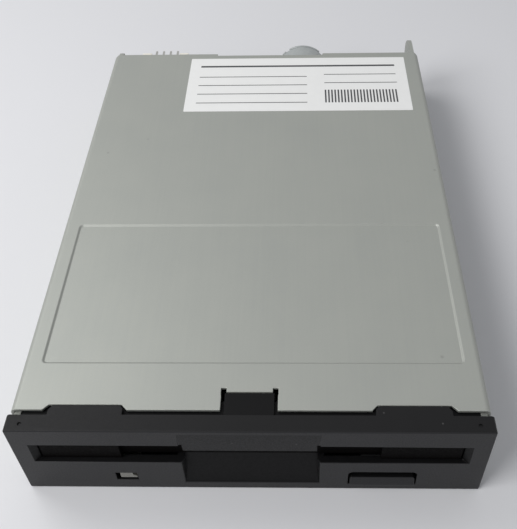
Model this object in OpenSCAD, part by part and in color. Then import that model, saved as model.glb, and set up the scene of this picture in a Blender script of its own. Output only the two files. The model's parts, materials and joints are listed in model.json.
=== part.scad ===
// Three and a half inch floppy disk drive, one assembly of separate pieces.
// Millimetres, X right seen from the front, Y to the rear, Z up.
// Inside the modules Y runs from the face of the bezel; placed() centres the drive.

/* [Envelope] */
// Width of the front bezel
bezel_w = 101.6; // [101.2:0.1:103]
// Height of the front bezel
bezel_h = 25.4; // [25.2:0.1:26]
// Depth of the bezel from its face to the back of its rim
bezel_d = 3.8; // [3.7:0.1:4.0]
// How far the bezel stands out past each side of the body
bezel_step = 0.3; // [0.1:0.05:0.5]
// Distance from the bezel face to the rear end of the frame
body_len = 148.5; // [148:0.1:152]

/* [Sheet metal] */
// Thickness of the cover sheet
cover_t = 0.7; // [0.5:0.1:0.8]
// Thickness of the frame walls
wall_t = 1.4; // [1.2:0.1:1.5]
// Thickness of the frame floor
floor_t = 1.2; // [1:0.1:1.3]
// Thickness of the sheets of the loading mechanism
sheet_t = 0.8; // [0.6:0.1:0.8]
// Front edge of the cover behind the bezel face
cover_front = 5.0; // [4.9:0.1:5.3]
// Rear edge of the cover in front of the rear end of the frame
cover_short = 12.5; // [12:0.1:13.5]
// Outer radius of the side bends of the cover
cover_bend = 1.4; // [1.2:0.1:1.8]
// Margin of the sunk panel at the sides of the cover
panel_margin = 3.7; // [3.3:0.1:8]
// Length of the sunk panel in the cover
panel_len = 41.8; // [34:0.1:42.4]
// Depth of the sunk panel in the cover
panel_depth = 0.4; // [0.3:0.1:0.6]
// Width of the blank label
label_w = 70; // [50:1:72]
// Length of the blank label
label_len = 28; // [16:1:28]

/* [Disk path] */
// Wall of the bezel at each end of the slot
slot_side = 1.95; // [1.7:0.05:2.2]
// Height of the slot in the bezel
slot_h = 7.1; // [6.9:0.1:7.3]
// Floor of the slot below the top of the bezel
slot_down = 13.2; // [13:0.1:13.4]
// Height inside the disk holder
bay_h = 4.3; // [4.2:0.1:4.4]
// Way down of the disk holder
drop = 2.6; // [2.2:0.1:2.6]
// Travel of the eject button
eject_travel = 5.5; // [4.5:0.1:5.6]
// Radius of the guide pins of the holder
guide_pin_r = 0.9; // [0.7:0.1:1.0]

/* [Front controls] */
// Middle of the eject button from the side of the body
button_in = 21.75; // [20.5:0.05:22.5]
// Width of the opening for the button
button_w = 15; // [14:0.1:16]
// Height of the opening for the button
button_h = 5.5; // [5:0.1:5.6]
// How far the button stands out of the face
button_proud = 0.5; // [0.3:0.1:1.0]
// Middle of the lamp window from the side of the body
lamp_in = 22.7; // [22:0.05:23.5]
// Half width of the thumb recess
thumb_half = 14.8; // [13:0.1:16]

/* [Spindle] */
// Outer radius of the rotor
rotor_r = 17; // [16.4:0.1:17.3]
// Height of the rotor
rotor_h = 5.2; // [5.0:0.1:5.3]
// Radius of the spindle shaft
shaft_r = 2; // [1.6:0.1:2.1]

/* [Heads] */
// Radius of the outermost track
track0_r = 39.5; // [39.2:0.1:39.8]
// Travel of the head carriage over all tracks
head_travel = 14.8; // [13:0.1:14.8]
// Radius of the guide rods
rod_r = 1.5; // [1.2:0.1:1.6]
// Gap between the carriage in its rear place and the stepper
carriage_gap = 4.8; // [4.6:0.1:5.2]

/* [Stepper] */
// Radius of the stepper can
stepper_r = 8.4; // [8.2:0.1:8.5]
// Length of the stepper can
stepper_len = 12.6; // [12:0.1:12.8]
// Lead screw axis to the right of the middle
screw_x = 12.4; // [12.2:0.1:12.6]
// Height of the lead screw axis
screw_z = 11.8; // [11.6:0.1:12]
// Lead of the screw
screw_lead = 3; // [2.5:0.5:4]

/* [Connectors] */
// Middle of the power connector from the left end of the data connector
power_in = 9.7; // [8.8:0.1:10.6]
// Pitch of the power pins
power_pitch = 2.5; // [2.4:0.01:2.54]
// How far the power pins reach behind the frame
power_proud = 3; // [2.2:0.1:4]
// Pitch of the data pins
data_pitch = 2.54; // [2.5:0.01:2.54]

/* [Mounting] */
// Distance of the front side holes behind the bezel rim
mount_front = 27.2; // [26:0.1:28]
// Distance between the front and the rear side holes
mount_pitch = 90; // [88:0.5:90.5]
// Height of the side holes
mount_z = 5; // [4.8:0.1:5.2]
// Core radius of the tapped side holes
mount_r = 1.25; // [1.1:0.05:1.5]

/* [Fits] */
// Radial play of turning and sliding pieces
run_gap = 0.05; // [0.02:0.01:0.08]
// Gap between the mechanism sheets
sheet_gap = 0.3; // [0.2:0.05:0.3]
// Gap between the slide and the frame walls
slide_gap = 1.3; // [1.2:0.05:1.5]
// Gap between the bezel spigot and the frame walls
spigot_gap = 0.15; // [0.1:0.05:0.3]
// Gap around pieces set into an opening
trim_gap = 0.2; // [0.1:0.05:0.3]

/* [Hidden] */
$fn = 48;
body_w = bezel_w - 2 * bezel_step;
half = body_w / 2;
y_first = -button_proud;
y_last = body_len + power_proud;
y_mid = (y_first + y_last) / 2;

// Lengths from the rear end to the front
cover_rear = body_len - cover_short;
stepper_end = body_len - 0.2;
stepper_y = stepper_end - stepper_len;
carriage_len = 14;
reach = 24;
carriage_y = [stepper_y - carriage_gap - carriage_len, stepper_y - carriage_gap];
head_y = carriage_y[0] - reach;
spindle_y = head_y - track0_r;
control_front = body_len - 47.5;
left_end = body_len - 8.4;

// Heights from the floor up
slot_z = bezel_h - slot_down;
standoff = 0.6;
board_z = floor_t + standoff;
motor_board_t = 1.2;
motor_top = board_z + motor_board_t;
control_board_t = 1.6;
control_top = board_z + control_board_t;
lip_top = slot_z + 0.1;
holder_in = lip_top + bay_h;
holder_top = holder_in + sheet_t;
lever_z = holder_top + 0.1;
slide_z = lever_z + sheet_t + 1.2;
slide_top = slide_z + sheet_t;
arm_z = slide_z + 0.2;
hinge_z = arm_z + 1.2;
pin_z = holder_top - 1.8;
disk_t = 3.3;
media_z = lip_top - drop + disk_t / 2;
loaded_z = lip_top - drop;
cover_top = bezel_h - 0.2;
cover_in = cover_top - cover_t;
wall_top = cover_in - (cover_bend - cover_t) + 0.2;
ledge_z = slot_z - 0.2;
hook_z = [ledge_z - 4.7, ledge_z - 2.1];
slot_top = slot_z + slot_h;

// Walls of the frame, upper part set in for the cover sides
wall_up = half - cover_t - 0.1;
wall_in = wall_up - wall_t;
low_in = half - wall_t;
frame_front = bezel_d + 0.6;
floor_front = 8.2;
lug_r = 5;
catch_ys = [46, cover_rear - 28];
catch_z = [ledge_z + 3.2, ledge_z + 4.8];

// Bezel shell
face_t = 1.8;
spigot_t = 0.7;
bezel_in_x = wall_in - spigot_gap - spigot_t;
slot_half = bezel_in_x - slot_side;
shell_top = cover_in - 1.5;
button_x = half - button_in;
lamp_x = lamp_in - half;
lamp_z = [3.9, 7.1];
tab_in = 26.1;
tab_out = half - 7.3;
flap_y = 2.8;
flap_z = slot_top - 0.2;
flap_seat = slot_half - 9.15;
thumb_top = bezel_h - 2.9;
thumb_floor = 2.8;
lip_y = 0.5;
lip_z = slot_z + 4.2;
button_z = 2.5;
button_half = button_w / 2;

// Disk holder and slide
slide_half = wall_in - slide_gap;
slide_in = slide_half - sheet_t;
holder_half = slide_in - sheet_gap;
bay_half = holder_half - sheet_t;
holder_front = 11;
holder_rear = head_y + 6.6;
holder_cut = spindle_y + 14.6;
slide_front = 16;
slide_rear = spindle_y + 40.6;
slide_low = pin_z - drop - guide_pin_r - 2.6;
pin_ys = [30, spindle_y + 30.6];
bracket_y = [22, 27];
bracket_z = 6;
lever_x = 5.1 - bay_half;
lever_y = spindle_y + 34.6;
lever_r = 23;
lever_rest = -24.2;
lever_turn = 55;
spring_x = slide_half - 5;
spring_z = slide_top + 1.35;
spring_y = [12.4, 42];

// Switches under the disk corners
switch_xs = [4.1 - bay_half, 11.1 - bay_half, bay_half - 4.1];
switch_y = 13.5;
plunger_r = 0.9;
plunger_top = lip_top - 1.1;
plunger_travel = 1.3;

// Spindle stack
rotor_z = motor_top + 0.6;
rotor_top = rotor_z + rotor_h;
chuck_t = 1.4;
chuck_top = rotor_top + chuck_t;
chuck_r = 12.5;
drive_pin_r = 1.1;
drive_pin_at = 9;
shaft_tip = chuck_top + 1.6;
stator_r = rotor_r - 3;

// Carriage and arm
rod_z = screw_z - 3.8;
rod_x1 = -6.5;
rod_x2 = screw_x + 8.6;
post_front = carriage_y[0] - head_travel - 3.2;
post_rear = carriage_y[1] + 2.3;
post_t = 2.2;
hinge_y = head_y + 34;
arm_turn = 7.2;
follow_y = head_y + 31;
wing_y = head_y + 15.4;
upper_head_z = lip_top + disk_t + 0.8;

// Stepper and lead screw
upright_t = 1.2;
upright_rear = stepper_y - upright_t;
upright_front = carriage_y[0] - head_travel - 1.5;
screw_core = 1.3;
screw_ecc = 0.35;
screw_y = [upright_front + upright_t + 1.6, carriage_y[1] - 0.5];

// Boards
board_half = low_in - 3.6;
board_rear = spindle_y + 37.6;
control_left = 2.9 - low_in;

// Connectors
data_left = 3.5 - low_in;
data_right = screw_x - stepper_r - 3.6;
data_x = (data_left + data_right) / 2;
data_w = data_right - data_left;
data_wall = 2.68;
data_columns = floor((data_w - 2 * data_wall + 0.01) / data_pitch);
power_x = data_left + power_in;
data_y = [body_len - 8.9, body_len];
data_top = control_top + 8.9;
data_rows = [control_top + 3.18, control_top + 5.72];
power_half = 8.1;
power_y = [data_y[0], body_len + 0.2];
power_pin_z = data_top + 3.5;
power_top = data_top + 5.3;
power_tail_y = data_y[0] - 5.4;
pin_tail = 0.5;

// Fasteners
motor_screws = [
    [3.5 - board_half, spindle_y - 9.4], [board_half - 3.5, spindle_y - 9.4],
    [-32, spindle_y + 33.6], [32, spindle_y + 33.6]
];
control_screws = [
    [control_left + 2.7, control_front + 3], [-14.5, control_front + 3],
    [-13.6, body_len - 15.5]
];
bracket_screw_ys = [upright_front + 9, upright_rear - 6];
screw_shank = 1.15;
mount_ys = [bezel_d + mount_front, bezel_d + mount_front + mount_pitch];

// Colours of the preview
steel = "#a2a7a1";
dark_plastic = "#35353a";
zinc = "#b9bdb8";
board_green = "#2f6b4a";
nylon = "#e6e0cf";
brass_tone = "#b8954e";

// Piece to draw, or all of them

// Building blocks
module span(x, y, z) {
    translate([x[0], y[0], z[0]])
        cube([x[1] - x[0], y[1] - y[0], z[1] - z[0]]);
}

module side_span(s, x, y, z) {
    span(s > 0 ? x : [-x[1], -x[0]], y, z);
}

module rod_along_x(x, y, z, r) {
    translate([x[0], y, z])
        rotate([0, 90, 0])
            cylinder(h = x[1] - x[0], r = r);
}

module side_rod_x(s, x, y, z, r) {
    rod_along_x(s > 0 ? x : [-x[1], -x[0]], y, z, r);
}

module rod_along_y(x, y, z, r) {
    translate([x, y[0], z])
        rotate([-90, 0, 0])
            cylinder(h = y[1] - y[0], r = r);
}

module post(x, y, z, r) {
    translate([x, y, z[0]])
        cylinder(h = z[1] - z[0], r = r);
}

// Straight slot through a wall that stands across X
module slot_through_x(x, from, to, r) {
    run = [to[0] - from[0], to[1] - from[1]];
    rod_along_x(x, from[0], from[1], r);
    rod_along_x(x, to[0], to[1], r);
    translate([x[0], from[0], from[1]])
        rotate([atan2(run[1], run[0]), 0, 0])
            translate([0, 0, -r])
                cube([x[1] - x[0], norm(run), 2 * r]);
}

// Upright plate with round corners in plan
module round_plate(x, y, z, r) {
    span([x[0] + r, x[1] - r], y, z);
    span(x, [y[0] + r, y[1] - r], z);
    for (cx = [x[0] + r, x[1] - r], cy = [y[0] + r, y[1] - r])
        post(cx, cy, z, r);
}

// Plate facing the front with round corners
module round_face(x, y, z, r) {
    span([x[0] + r, x[1] - r], y, z);
    span(x, y, [z[0] + r, z[1] - r]);
    for (cx = [x[0] + r, x[1] - r], cz = [z[0] + r, z[1] - r])
        rod_along_y(cx, y, cz, r);
}

// Section in Y and Z drawn out along X
module along_x(x, section) {
    translate([x[0], 0, 0])
        rotate([90, 0, 90])
            linear_extrude(height = x[1] - x[0])
                polygon(section);
}

// Outline in X and Z drawn out along Y
module along_y(y, outline) {
    translate([0, y[1], 0])
        rotate([90, 0, 0])
            linear_extrude(height = y[1] - y[0])
                polygon(outline);
}

// Wire wound along Z, one unbroken tube
module coil(length, coil_r, wire_r, turns) {
    steps = 10;
    sides = 6;
    count = round(turns * steps);
    points = [
        for (i = [0 : count], k = [0 : sides - 1])
            let (
                a = 360 * i / steps,
                b = 360 * k / sides,
                r = coil_r + wire_r * cos(b),
                h = wire_r + (length - 2 * wire_r) * i / count + wire_r * sin(b)
            )
            [r * cos(a), r * sin(a), h]
    ];
    skin = [
        for (i = [0 : count - 1], k = [0 : sides - 1])
            let (
                n = (k + 1) % sides,
                p = i * sides,
                q = p + sides
            )
            each [[p + k, q + k, p + n], [p + n, q + k, q + n]]
    ];
    first = [for (k = [0 : sides - 1]) k];
    last = [for (k = [0 : sides - 1]) count * sides + sides - 1 - k];
    polyhedron(points = points, faces = concat([first], skin, [last]), convexity = 8);
}

// Frame of bent sheet: floor, side walls, posts and tapped side holes
module base_frame() {
    color(steel)
    difference() {
        union() {
            span([-half, half], [floor_front, body_len], [0, floor_t]);
            for (s = [-1, 1]) {
                side_span(s, [low_in, half], [frame_front, body_len], [0, ledge_z]);
                side_span(s, [wall_in, half], [frame_front, body_len], [ledge_z - wall_t, ledge_z]);
                frame_upper_wall(s);
                frame_side_details(s);
            }
            span([rod_x2 + 3, low_in], [body_len - wall_t, body_len], [0, 9]);
            for (p = concat(motor_screws, control_screws))
                post(p[0], p[1], [floor_t, board_z], 2.6);
            for (x = [rod_x1, rod_x2], y = [post_front, post_rear])
                span([x - 2.6, x + 2.6], [y, y + post_t], [0, rod_z + rod_r + 0.4]);
        }
        frame_windows();
        frame_holes();
    }
}

module frame_upper_wall(s) {
    x = [wall_in, wall_up];
    end = s > 0 ? body_len : left_end;
    r = s > 0 ? lug_r : 2;
    side_span(s, x, [frame_front, end - r], [ledge_z - 0.2, wall_top]);
    side_span(s, x, [end - r - 0.2, end], [ledge_z - 0.2, wall_top - r]);
    side_rod_x(s, x, end - r, wall_top - r, r);
}

module frame_side_details(s) {
    // anchor of the slide spring, hold-down tab of the slide, catches of the cover
    side_span(s, [spring_x - 1.4, wall_in + 0.2], [spring_y[0] - 1.2, spring_y[0]],
        [spring_z - 0.9, spring_z + 0.9]);
    side_span(s, [slide_half - 2.4, wall_in + 0.2], [58, 61],
        [slide_top + sheet_gap, slide_top + sheet_gap + 1]);
    for (y = catch_ys)
        side_span(s, [wall_up - 0.2, wall_up + 0.5], [y, y + 5], catch_z);
    for (y = mount_ys)
        side_rod_x(s, [low_in - 1.8, low_in + 0.2], y, mount_z, 2.5);
}

module frame_windows() {
    z = [-1, floor_t + 0.5];
    round_plate([7.5 - board_half, board_half - 7.5], [24, spindle_y + 27.6], z, 6);
    round_plate([control_left + 5.2, -18], [control_front + 7, control_front + 31], z, 3);
    round_plate([rod_x2 + 7, low_in - 5.1], [body_len - 48.5, body_len - 8.5], z, 3);
    round_plate([data_left + 1.6, data_right - 0.4], [data_y[0] - 3.7, data_y[0] + 6], z, 2);
    for (s = [-1, 1])
        side_span(s, [low_in - 1, half + 1], [9, 12.2], [hook_z[0] - 0.3, hook_z[1] + 0.3]);
}

module frame_holes() {
    for (p = concat(motor_screws, control_screws))
        post(p[0], p[1], [-1, board_z + 1], screw_shank + 0.1);
    for (y = bracket_screw_ys)
        post(screw_x - 3.2, y, [-1, floor_t + 1], screw_shank + 0.1);
    for (x = [rod_x1, rod_x2])
        rod_along_y(x, [post_front - 1, post_rear + post_t + 1], rod_z, rod_r);
    for (s = [-1, 1]) {
        for (y = mount_ys)
            side_rod_x(s, [low_in - 3, half + 1], y, mount_z, mount_r);
        for (y = pin_ys)
            side_span(s, [wall_in - 0.5, wall_up + 0.5],
                [y - guide_pin_r - 0.1, y + guide_pin_r + 0.1],
                [pin_z - drop - guide_pin_r - 0.1, pin_z + guide_pin_r + 0.1]);
    }
}

// Moulded front bezel with the disk slot, thumb recess, lamp window and button opening
module front_bezel() {
    color(dark_plastic)
    difference() {
        union() {
            difference() {
                round_face([-bezel_w / 2, bezel_w / 2], [0, bezel_d], [0, bezel_h], 0.8);
                bezel_edges();
                span([-bezel_in_x, bezel_in_x], [face_t, bezel_d + 1], [2.6, shell_top]);
            }
            bezel_spigot();
            // backing of the thumb recess
            span([-thumb_half - 1.2, thumb_half + 1.2], [face_t - 0.2, 3.7], [1.6, slot_z]);
            bezel_tabs();
            bezel_hooks();
        }
        bezel_openings();
    }
}

// Rounded front edges
module bezel_edges() {
    r = 0.45;
    w = bezel_w / 2;
    for (z = [r, bezel_h - r])
        difference() {
            span([-w - 1, w + 1], [-1, r], z < r + 0.1 ? [-1, r] : [bezel_h - r, bezel_h + 1]);
            rod_along_x([-w - 2, w + 2], r, z, r);
        }
    for (s = [-1, 1])
        difference() {
            side_span(s, [w - r, w + 1], [-1, r], [-1, bezel_h + 1]);
            post(s * (w - r), r, [-2, bezel_h + 2], r);
        }
}

module bezel_spigot() {
    x = bezel_in_x + spigot_t;
    y = [bezel_d - 0.2, 7.6];
    span([-x, x], y, [shell_top, cover_in - 0.3]);
    span([-x, x], y, [1.4, 2.6]);
    for (s = [-1, 1])
        side_span(s, [bezel_in_x, x], y, [1.4, cover_in - 0.3]);
}

// Two side tabs that show in the cover notches and the middle tongue
module bezel_tabs() {
    for (s = [-1, 1])
        translate([0, 0, cover_in - 0.5])
            linear_extrude(height = bezel_h - cover_in + 0.5)
                polygon([
                    [s * (tab_in + 0.4), bezel_d - 0.2], [s * (tab_out - 0.9), bezel_d - 0.2],
                    [s * (tab_out - 0.9), cover_front - 0.1], [s * (tab_out - 1.7), cover_front + 1],
                    [s * (tab_in + 1.1), cover_front + 1], [s * (tab_in + 0.4), cover_front + 0.2]
                ]);
    span([-5.3, 5.3], [bezel_d - 0.2, 9.2], [cover_in - 1.3, cover_top - 0.25]);
}

module bezel_hooks() {
    for (s = [-1, 1]) {
        side_span(s, [bezel_in_x, bezel_in_x + 1.2], [bezel_d - 0.2, 12.6], hook_z);
        side_span(s, [bezel_in_x + 1, low_in + 0.8], [9.6, 11.8], hook_z);
    }
}

module bezel_openings() {
    w = slot_half;
    for (s = [-1, 1]) {
        side_span(s, [thumb_half - 0.5, w], [-1, face_t + 0.5], [slot_z, slot_top]);
        // bevelled ends of the mouth
        translate([0, 0, slot_z])
            linear_extrude(height = slot_h)
                polygon([[s * (w - 1), -1], [s * (w + 2.8), -1], [s * w, 1], [s * (w - 1), 1]]);
        // sockets of the flap pivots
        side_rod_x(s, [bezel_in_x - 0.5, bezel_in_x + 1.7], flap_y, flap_z, 0.6 + run_gap);
    }
    thumb_recess();
    // round marks of the ejector pins on the top face
    for (s = [-1, 1])
        post(s * (bezel_w / 2 - 3.3), 1.6, [bezel_h - 0.3, bezel_h + 1], 0.45);
    span([lamp_x - 2.4, lamp_x + 2.4], [-1, face_t + 0.5], lamp_z);
    difference() {
        round_face([button_x - button_half, button_x + button_half], [-1, face_t + 0.5],
            [button_z, button_z + button_h], 1.2);
        span([button_x - button_half - 1, button_x + button_half + 1], [-2, face_t + 1],
            [button_z - 1, button_z]);
    }
    span([button_x - button_half, button_x + button_half], [-1, face_t + 0.5],
        [button_z, button_z + 2]);
}

// Sloping lip over the middle of the slot and the sloping recess under it, with drafted sides
module thumb_recess() {
    wide = thumb_half + 0.2;
    narrow = thumb_half - 0.4;
    deep = 2.4;
    intersection() {
        along_x([-wide - 1, wide + 1], [
            [-1, thumb_top], [0, thumb_top], [lip_y, lip_z], [5, lip_z], [5, slot_z], [deep, slot_z],
            [0.3, thumb_floor + 0.3], [0, thumb_floor], [-1, thumb_floor]
        ]);
        translate([0, 0, -1])
            linear_extrude(height = bezel_h + 2)
                polygon([
                    [-wide, -1], [-wide, 0], [-narrow, 1], [-narrow, 6],
                    [narrow, 6], [narrow, 1], [wide, 0], [wide, -1]
                ]);
    }
}

// Pressed steel cover with a sunk panel, bent sides and a bent rear lip
module top_cover() {
    color(steel)
    difference() {
        union() {
            span([-half + cover_bend, half - cover_bend], [cover_front, cover_rear],
                [cover_in, cover_top]);
            for (s = [-1, 1]) {
                cover_side_bend(s);
                side_span(s, [half - cover_t, half], [cover_front, cover_rear],
                    [ledge_z + 0.2, cover_top - cover_bend]);
            }
            span(panel_x(), panel_y(), [cover_in - panel_depth, cover_in]);
            for (x = [[2.6 - half, -16], [19, half - 5.5]])
                span(x, [cover_rear - cover_t, cover_rear], [cover_in - 2.9, cover_in + 0.1]);
        }
        cover_panel_cut();
        cover_front_cuts();
        // middle of the rear edge is set back
        span([-16, 19], [cover_rear - 0.9, cover_rear + 1], [cover_in - 4, cover_top + 1]);
        for (s = [-1, 1]) {
            for (y = catch_ys)
                side_span(s, [half - cover_t - 0.5, half + 1], [y - 0.3, y + 5.3],
                    [catch_z[0] - 0.3, catch_z[1] + 0.3]);
            // corners of the rear end
            translate([s * half, cover_rear, ledge_z])
                rotate([0, 0, 45])
                    cube([1.6, 1.6, 40], center = true);
        }
    }
}

function panel_x() = [panel_margin + 0.3 - half, half - panel_margin];
function panel_y() = [16.3, 16.3 + panel_len];

module cover_side_bend(s) {
    x = half - cover_bend;
    z = cover_top - cover_bend;
    y = [cover_front, cover_rear];
    difference() {
        rod_along_y(s * x, y, z, cover_bend);
        rod_along_y(s * x, [y[0] - 1, y[1] + 1], z, cover_bend - cover_t);
        side_span(s, [x - cover_bend - 1, x], [y[0] - 1, y[1] + 1], [z - 9, z + 9]);
        side_span(s, [x - 9, x + 9], [y[0] - 1, y[1] + 1], [z - 9, z]);
    }
}

module cover_panel_cut() {
    x = panel_x();
    y = panel_y();
    slope = 0.4;
    z = [cover_top - panel_depth, cover_top];
    hull() {
        round_plate([x[0] + slope, x[1] - slope], [y[0] + slope, y[1] - slope], [z[0], z[0] + 0.01], 0.7);
        round_plate(x, y, [z[1], z[1] + 0.01], 1);
    }
}

module cover_front_cuts() {
    for (s = [-1, 1])
        translate([0, 0, cover_in - 1])
            linear_extrude(height = cover_t + 2)
                polygon([
                    [s * (tab_in - 0.3), cover_front - 1], [s * (tab_out + 0.3), cover_front - 1],
                    [s * (tab_out + 0.3), cover_front + 0.1], [s * (tab_out - 0.8), cover_front + 1.2],
                    [s * (tab_in + 0.8), cover_front + 1.2], [s * (tab_in - 0.3), cover_front + 0.1]
                ]);
    span([-6.05, 6.05], [cover_front - 1, 9.3], [cover_in - 1, cover_top + 1]);
    // relieved corners of the tongue's notch
    for (s = [-1, 1])
        side_span(s, [4.95, 6.15], [8.6, 10.25], [cover_in - 1, cover_top + 1]);
}

// Blank paper label on the cover
module rating_label() {
    y = cover_rear - 2.9;
    color("#e8eae8")
    round_plate([half - 4.9 - label_w, half - 4.9], [y - label_len, y], [cover_top, cover_top + 0.1], 1);
}

// Light pipe behind the lamp window
module led_lens() {
    color("#b9b9ae")
    union() {
        along_y([0.2, 9], [
            [lamp_x - 1.5, lamp_z[0] + 0.7], [lamp_x + 2.25, lamp_z[0] + 0.7],
            [lamp_x + 2.25, lamp_z[0] + 1.3], [lamp_x + 1.4, lamp_z[0] + 2],
            [lamp_x + 1.4, lamp_z[1] - 0.1], [lamp_x - 1.5, lamp_z[1] - 0.1]
        ]);
        span([lamp_x - 3, lamp_x + 3], [face_t, face_t + 1.2], [3.2, 7.6]);
    }
}

module led_lamp() {
    color("#cfd8c0")
    union() {
        rod_along_y(lamp_x, [9.1, 12], 5.4, 1.45);
        span([lamp_x - 1.9, lamp_x + 1.9], [11.4, 13.6], [motor_top, 7.2]);
    }
}

// Steel based circuit board of the spindle motor
module motor_board() {
    color("#6f7a4a")
    difference() {
        round_plate([-board_half, board_half], [10.6, board_rear], [board_z, motor_top], 2);
        post(0, spindle_y, [0, motor_top + 1], 4);
        for (p = motor_screws)
            post(p[0], p[1], [0, motor_top + 1], screw_shank + 0.25);
        span([-12, 12], [board_rear - 9, board_rear + 1], [0, motor_top + 1]);
        span([-8, 8], [9, 16], [0, motor_top + 1]);
    }
}

module spindle_bearing() {
    color(brass_tone)
    difference() {
        union() {
            post(0, spindle_y, [0.6, rotor_top - 1.4], 4);
            post(0, spindle_y, [motor_top, motor_top + 1.2], 6.2);
        }
        post(0, spindle_y, [0, rotor_top], shaft_r + run_gap);
    }
}

// Laminated stator with twelve teeth
module stator_core() {
    z = [motor_top + 1.2, motor_top + 2.6];
    color("#8a8d8e")
    difference() {
        union() {
            post(0, spindle_y, z, 7);
            for (i = [0 : 11])
                translate([0, spindle_y, 0])
                    rotate([0, 0, 30 * i])
                        stator_tooth(z);
        }
        post(0, spindle_y, [z[0] - 1, z[1] + 1], 4);
    }
}

module stator_tooth(z) {
    span([6, stator_r - 0.8], [-0.7, 0.7], z);
    span([stator_r - 1.2, stator_r - 0.2], [-2.4, 2.4], z);
}

module stator_coils() {
    z = [motor_top + 0.7, motor_top + 3.1];
    color("#a8562f")
    for (i = [0 : 11])
        translate([0, spindle_y, 0])
            rotate([0, 0, 30 * i])
                difference() {
                    span([7.5, stator_r - 1.4], [-1.6, 1.6], z);
                    span([7, stator_r], [-0.7, 0.7], [z[0] + 0.5, z[1] - 0.5]);
                }
}

module motor_chips() {
    z = motor_top;
    color("#26272a")
    union() {
        span([22, 32], [spindle_y + 10.6, spindle_y + 20.6], [z, z + 1.8]);
        span([-34, -26], [spindle_y + 12.6, spindle_y + 17.6], [z, z + 1.6]);
        for (x = [-22, -18, -14, 14, 18, 22])
            span([x, x + 2], [spindle_y + 24, spindle_y + 25.2], [z, z + 0.8]);
    }
}

// Index pulse sensor beside the rotor
module index_sensor() {
    y = spindle_y - rotor_r - 2.6;
    color("#2a2a2c")
    span([-2, 2], [y, y + 1.8], [motor_top, motor_top + 3]);
}

// Three micro switches under the front corners of the disk
module switch_bodies() {
    color("#3a3a3e")
    for (x = switch_xs)
        difference() {
            span([x - 2.5, x + 2.5], [switch_y - 2.5, switch_y + 2.5], [motor_top, motor_top + 5]);
            post(x, switch_y, [motor_top + 1.2, motor_top + 6], plunger_r + run_gap);
        }
}

module plunger(x) {
    color("#d9d6cc")
    post(x, switch_y, [motor_top + 2.7, plunger_top], plunger_r);
}

module density_plunger() {
    plunger(switch_xs[0]);
}

module disk_plunger() {
    plunger(switch_xs[1]);
}

module protect_plunger() {
    plunger(switch_xs[2]);
}

module pan_screw(x, y, z, head_r) {
    difference() {
        union() {
            post(x, y, [z, z + 1.3], head_r);
            post(x, y, [0.2, z + 0.1], screw_shank);
        }
        span([x - 1.3, x + 1.3], [y - 0.25, y + 0.25], [z + 0.6, z + 2]);
        span([x - 0.25, x + 0.25], [y - 1.3, y + 1.3], [z + 0.6, z + 2]);
    }
}

module board_screws() {
    color(zinc)
    union() {
        for (p = motor_screws)
            pan_screw(p[0], p[1], motor_top, 2.2);
        for (p = control_screws)
            pan_screw(p[0], p[1], control_top, 2.2);
    }
}

// Control board at the rear left, with a strip behind the guide rods
module control_board() {
    color(board_green)
    difference() {
        union() {
            span([control_left, -10.2], [control_front, body_len - 0.4], [board_z, control_top]);
            span([-10.4, data_right + 5.6], [body_len - 10.6, body_len - 0.4],
                [board_z, control_top]);
            // land for the inner row of the connector's pins
            span([-10.4, data_right - 1], [body_len - 12.7, body_len - 10.4], [board_z, control_top]);
        }
        for (p = control_screws)
            post(p[0], p[1], [0, control_top + 1], screw_shank + 0.25);
    }
}

module control_chips() {
    x = control_left;
    y = control_front;
    z = control_top;
    color("#232427")
    union() {
        span([x + 6.2, x + 18.2], [y + 12, y + 24], [z, z + 1.7]);
        span([-20, -13], [y + 14, y + 19], [z, z + 1.5]);
        span([x + 1.2, x + 6.2], [y + 26, y + 30], [z, z + 1.5]);
    }
}

module board_parts() {
    x = control_left;
    y = control_front;
    z = control_top;
    color("#b79a6a")
    union() {
        for (i = [0 : 2])
            post(x + 3.2, y + 7.5 + 4.5 * i, [z, z + 3.6], 1.7);
        span([x + 10.2, x + 19.2], [y + 26, y + 29], [z, z + 2.6]);
        for (i = [0 : 4])
            span([x + 7 + 2.2 * i, x + 8.4 + 2.2 * i], [y + 8, y + 8.8], [z, z + 0.7]);
        for (i = [0 : 4])
            span([x + 20.2, x + 21], [y + 13 + 2.2 * i, y + 14.4 + 2.2 * i], [z, z + 0.7]);
    }
}

// Shrouded header for the flat data cable
module data_header() {
    x = [data_x - data_w / 2, data_x + data_w / 2];
    color("#2b2b2d")
    difference() {
        span(x, data_y, [control_top, data_top]);
        span([x[0] + 1.3, x[1] - 1.3], [data_y[0] + 2.4, data_y[1] + 1],
            [control_top + 1.4, data_top - 1.4]);
        span([data_x - 2.3, data_x + 2.3], [data_y[0] + 2.4, data_y[1] + 1],
            [control_top - 1, control_top + 2]);
    }
}

module data_pins() {
    color(brass_tone)
    for (i = [0 : data_columns], k = [0, 1])
        data_pin(data_x + (i - data_columns / 2) * data_pitch, data_rows[k],
            data_y[0] - 0.9 - 2.2 * k);
}

module data_pin(x, z, tail) {
    w = 0.32;
    span([x - w, x + w], [tail - w, data_y[1] - 1.2], [z - w, z + w]);
    span([x - w, x + w], [tail - w, tail + w], [board_z - pin_tail, z]);
}

// Open power header, stacked on the data header and standing on a leg
module power_header() {
    x = [power_x - power_half, power_x + power_half];
    color(nylon)
    union() {
        span(x, [power_tail_y - 1.4, power_y[1]], [data_top, data_top + 1.4]);
        span([x[0] + 1.6, x[1] - 1.6], [power_tail_y - 1.4, power_tail_y + 1.4],
            [control_top, data_top + 0.1]);
        span(x, [power_y[0], power_y[0] + 2.6], [data_top, power_top]);
        for (s = [0, 1])
            span(s > 0 ? [x[1] - 3.2, x[1]] : [x[0], x[0] + 3.2], [power_y[0], power_y[1] - 0.6],
                [data_top, power_top]);
    }
}

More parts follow.
